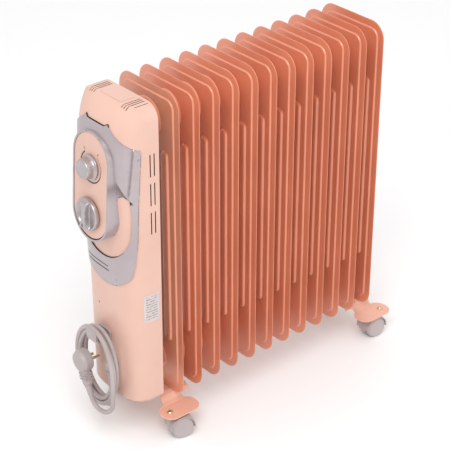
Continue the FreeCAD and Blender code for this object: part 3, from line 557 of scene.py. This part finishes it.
def read(items, name, width=3):
    """One value of every vertex or face of a mesh, as an array with a row for each."""
    values = np.empty(len(items) * width)
    items.foreach_get(name, values)
    return values.reshape(-1, width)


bezel = refined("formed_bezel", nodes["panel_bezel"], 0.0020)
points, normals = read(bezel.data.vertices, "co"), read(bezel.data.vertices, "normal")
outward = away_from_axis(points)
facing = np.sum(outward * normals, axis=1)
face_normal, face_centre = read(bezel.data.polygons, "normal"), read(bezel.data.polygons, "center")
face_area = read(bezel.data.polygons, "area", 1)[:, 0]
# The rim faces take the near-black material: painted shade along the bezel's edges.
shadow_rim_faces = ((np.abs(np.sum(away_from_axis(face_centre) * face_normal, axis=1)) < rim_facing)
       & ~in_region(face_centre, *pod_wall) & (face_area > smallest_rim_face))
depth, shade = pressed_relief(points)
depth = depth * (facing > front_facing) * (np.abs(points[:, 1]) > pod_half)
bezel.data.vertices.foreach_set("co", (points - outward * depth[:, None]).ravel())
bezel.data.attributes.new("relief_shade", "FLOAT", "POINT").data.foreach_set(
    "value", shade * (facing > front_facing))
paint(bezel, bezel_silver)
bezel.data.materials.append(shadow_gap)
bezel.data.polygons.foreach_set("material_index", shadow_rim_faces.astype(np.int32))
bezel.data.polygons.foreach_set("use_smooth", np.ones(len(shadow_rim_faces), dtype=bool))
bezel.data.set_sharp_from_angle(angle=math.radians(28.0))
bezel.data.update()
silver_shader = bezel_silver.node_tree.nodes["Principled BSDF"]
silver_start = Socket(bezel_silver.node_tree)
shade_at = silver_start.node("Attribute", out="Fac", attribute_name="relief_shade")
plain_silver = Socket(bezel_silver.node_tree, silver_shader.inputs["Base Color"].links[0].from_socket)
# Painted shade: the wing's and crease's corners are darkened by their relief_shade value.
feed(silver_start, silver_shader, "Base Color",
     tint(silver_start, shade_at * 0.75, plain_silver, (0.10, 0.075, 0.075)))
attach(bezel, "radiator")
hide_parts("panel_bezel")

# The dark line round the bezel is painted shade in the gap it sits in: a near-black copy of the same
# form, pushed outwards at its rims and pressed in at its face, so that only its edge shows.
shadow_seam = bpy.data.objects.new("bezel_shadow_seam", bezel.data.copy())
bpy.context.scene.collection.objects.link(shadow_seam)
corners = np.empty(len(shadow_seam.data.loops), dtype=np.int64)
shadow_seam.data.loops.foreach_get("vertex_index", corners)
corners = corners.reshape(-1, 3)
push = np.zeros(points.shape)
for k in range(3):
    np.add.at(push, corners[shadow_rim_faces, k], face_normal[shadow_rim_faces])
push /= np.maximum(np.linalg.norm(push, axis=1), 1e-9)[:, None]
pressed = shadow_seam_sink * (facing > front_facing)
push[in_region(points, *pod_hole)] = [pod_sink, 0.0, 0.0]
shadow_seam.data.vertices.foreach_set(
    "co", (points + push * shadow_seam_width - outward * pressed[:, None]).ravel())
paint(shadow_seam, shadow_gap)
shadow_seam.data.update()
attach(shadow_seam, "radiator")
paint(nodes["control_plate"], housing_plastic)

# Knobs -------------------------------------------------------------------------------------------
# Two silvered plastic knobs pushed on their shafts: a tall round one for the thermostat, and a low
# disc with a waisted grip for the heat setting. The face they sit on leans back by 4 degrees.

knob_silver = moulding("knob_silver", (0.42, 0.375, 0.38), (0.50, 0.455, 0.46), 0.30, 900.0, 0.00002,
                       coat=0.35, metallic=0.75)
lean = math.radians(4.0)
face_out = np.array([-math.cos(lean), 0.0, math.sin(lean)])
face_up = np.array([math.sin(lean), 0.0, math.cos(lean)])
face_right = np.array([0.0, -1.0, 0.0])
thermostat_seat = np.array([-0.2956, 0.0, 0.5271])
selector_seat = np.array([-0.3013, 0.0, 0.4453])


def on_face(seat, right, up, out):
    """Points of the leaning face's own frame, to the right, up and out of it, in the heater's frame."""
    right, up, out = np.broadcast_arrays(right, up, out)
    return (seat + right[..., None] * face_right + up[..., None] * face_up
            + out[..., None] * face_out).reshape(-1, 3)


def turned_knob(name, seat, profile, body, sides=96):
    """A profile of (radius, height) in millimetres turned round the face's normal."""
    radius, height = np.array(profile).T / 1000.0
    angle = np.linspace(0.0, 2.0 * math.pi, sides, endpoint=False)
    points = on_face(seat, radius[:, None] * np.sin(angle), radius[:, None] * np.cos(angle),
                     height[:, None] * np.ones(sides))
    return solid(name, points, quads(len(profile), sides, wrap=True), body, knob_silver)


thermostat_cap = turned_knob("thermostat_cap", thermostat_seat, [
    (0, 0.4), (20.8, 0.4), (21.3, 0.7), (21.5, 1.2), (21.5, 2.4), (21.3, 2.9), (20.8, 3.2), (19.6, 3.5),
    (18.7, 4.1), (18.0, 5.2), (17.6, 6.8), (17.4, 8.6), (17.2, 12.0), (16.9, 15.0), (16.6, 16.4),
    (16.1, 17.3), (15.3, 17.8), (14.3, 18.0), (13.6, 17.9), (13.1, 17.5), (12.6, 17.3), (6.0, 17.2),
    (0, 17.2)], "thermostat_control")
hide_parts("thermostat_knob")

# The disc's height is a shallow scoop that rises to its rim, with a grip across it. The grip's half
# width is its waist plus the square of the height up the disc, and the rim is a quarter round.
radius = np.concatenate([[0.0, 1.0], np.linspace(2.0, 25.6, 40),
                         [26.2, 26.8, 27.3, 27.7, 27.95, 28.0, 28.0, 27.6, 0.0]]) / 1000.0
angle = np.linspace(0.0, 2.0 * math.pi, 144, endpoint=False)
right = radius[:, None] * np.sin(angle)
up = radius[:, None] * np.cos(angle)
disc_radius, grip_waist, grip_swell, grip_height = 0.028, 0.0055, 0.0075, 0.0148
scoop_floor, scoop_rise, rim_run, flank_run = 0.0048, 0.0040, 0.0040, 0.0022
waist = grip_waist + grip_swell * (up / disc_radius) ** 2
scoop = scoop_floor + scoop_rise * step((radius[:, None] - 0.0215) / rim_run)
grip = (step((waist - np.abs(right)) / flank_run)
        * (1.0 - step((radius[:, None] - 0.0225) / rim_run)))
height = scoop + (grip_height - scoop) * grip
round_over = np.clip((radius[:, None] - 0.0262) / 0.0018, 0.0, 1.0)
height = height - 0.0030 * (1.0 - np.sqrt(1.0 - round_over ** 2))
height[-3:] = np.array([[0.0030], [0.0008], [0.0004]])
selector_disc = solid("selector_disc", on_face(selector_seat, right, up, height),
                      quads(len(radius), len(angle), wrap=True), "selector_control", knob_silver)
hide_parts("selector_knob")

# Printed dial ------------------------------------------------------------------------------------
# Dark ink printed on the plate: an arc that swells round the thermostat knob from low to high, with
# a tick at each end. Two fine rules are printed across the foot of the bezel.

dial_ink = moulding("dial_ink", (0.022, 0.018, 0.018), (0.034, 0.028, 0.028), 0.45, 900.0, 0.00001)
ink_height = 0.00018
ink_lift = 0.00003
plate_level = -0.00105
grip_level = 0.01475


def printed_band(name, right, up, half_width, seat, level):
    """A closed ribbon along a line on the face: half_width to each side, ink_height thick."""
    along = np.stack([np.gradient(right), np.gradient(up)], 1)
    along /= np.linalg.norm(along, axis=1)[:, None]
    side = np.stack([-along[:, 1], along[:, 0]], 1) * half_width[:, None]
    ring = [(right + side[:, 0] * s, up + side[:, 1] * s, np.full(len(right), level + t))
            for s, t in ((-1, 0.0), (1, 0.0), (1, ink_height), (-1, ink_height))]
    points = on_face(seat, *[np.stack([corner[k] for corner in ring], 1) for k in range(3)])
    piece = solid(name, points, quads(len(right), 4, wrap=True), "radiator", dial_ink, smooth=False)
    work = bmesh.new()
    work.from_mesh(piece.data)
    bmesh.ops.holes_fill(work, edges=work.edges, sides=4)
    bmesh.ops.recalc_face_normals(work, faces=work.faces)
    work.to_mesh(piece.data)
    work.free()
    return piece


sweep = np.radians(np.linspace(38.0, 322.0, 72))
swell = 0.00035 + 0.00085 * step((np.degrees(sweep) - 60.0) / 110.0)
printed_band("dial_arc", 0.0266 * np.sin(sweep), 0.0266 * np.cos(sweep), swell, thermostat_seat,
             plate_level)
for name, degrees in (("dial_tick_low", 34.0), ("dial_tick_high", -34.0)):
    tick = np.radians(np.array([degrees, degrees]))
    reach = np.array([0.0300, 0.0345])
    printed_band(name, reach * np.sin(tick), reach * np.cos(tick), np.full(2, 0.0006),
                 thermostat_seat, plate_level)
pointer_line = np.linspace(-0.0205, -0.0145, 3)
printed_band("selector_pointer", np.zeros(3), pointer_line, np.full(3, 0.0013), selector_seat,
             grip_level)
bezel_surface = BVHTree.FromPolygons([v.co for v in bezel.data.vertices],
                                     [face.vertices for face in bezel.data.polygons])
shell = nodes["housing_shell"].data
shell_surface = BVHTree.FromPolygons([v.co for v in shell.vertices],
                                     [face.vertices for face in shell.polygons])


def printed_rule(name, surface, y_from, y_to, z, half_width):
    """A fine printed line that follows the face of a surface, seen from its front.

    Each of its 40 cross sections stands ink_lift off the face and is ink_height thick."""
    y = np.linspace(y_from, y_to, 40)
    x = np.array([surface.ray_cast(Vector((-0.6, side, z)), Vector((1.0, 0.0, 0.0)))[0].x
                  for side in y])
    section = [(0.0, -half_width), (0.0, half_width), (-ink_height, half_width),
               (-ink_height, -half_width)]
    points = np.stack([np.stack([x + sink - ink_lift, y, np.full(len(y), z + rise)], 1)
                       for sink, rise in section], 1)
    cells = quads(len(y), 4, wrap=True).tolist()
    last = 4 * len(y) - 4
    cells += [[0, 1, 2, 3], [last, last + 1, last + 2, last + 3]]
    rule = solid(name, points.reshape(-1, 3), cells, "radiator", dial_ink, smooth=False)


printed_rule("bezel_rule_upper", bezel_surface, 0.049, -0.012, 0.3430, 0.0008)
printed_rule("bezel_rule_lower", bezel_surface, 0.045, -0.014, 0.3350, 0.0010)
printed_rule("housing_dot", shell_surface, 0.0248, 0.0222, 0.2550, 0.0013)

# Rating plate ------------------------------------------------------------------------------------
# A silvered film label stuck on the housing's side, printed with plain grey rules and no words.

rule_pitch = 210.0
rule_share = 0.38
label_rules_x, label_rules_z = (-0.2475, -0.2255), (0.2510, 0.2960)
label_film, label_shader, label_start = begin("label_film")
label_place = label_start.node("TexCoord", out="Object")
label_x, label_z = [label_start.node("SeparateXYZ", {"Vector": label_place}, out=k) for k in (0, 2)]
row = label_start.maths("FRACT", label_z * rule_pitch) < rule_share
broken = mottle(label_start, label_place, 330.0, 1.0) > 0.46
inside = between(label_x, label_rules_x) * between(label_z, label_rules_z)
film = tint(label_start, mottle(label_start, label_place, 60.0), (0.56, 0.49, 0.485),
            (0.66, 0.59, 0.585))
feed(label_start, label_shader, "Base Color", tint(label_start, row * broken * inside * 0.75, film,
                                                   (0.16, 0.13, 0.13)))
feed(label_start, label_shader, "Roughness", 0.28 + mottle(label_start, label_place, 200.0) * 0.1)
label_shader.inputs["Metallic"].default_value = 0.3
paint(nodes["rating_plate"], label_film)

# Plug, strain relief and hook --------------------------------------------------------------------
# The plug and strain relief are moulded on the lead in the same PVC. The hook is screwed under the
# housing and carries the winding.

for name in ("plug_body", "cord_gland", "cord_cleat"):
    paint(nodes[name], lead_pvc)
paint(nodes["plug_pins"], brass)
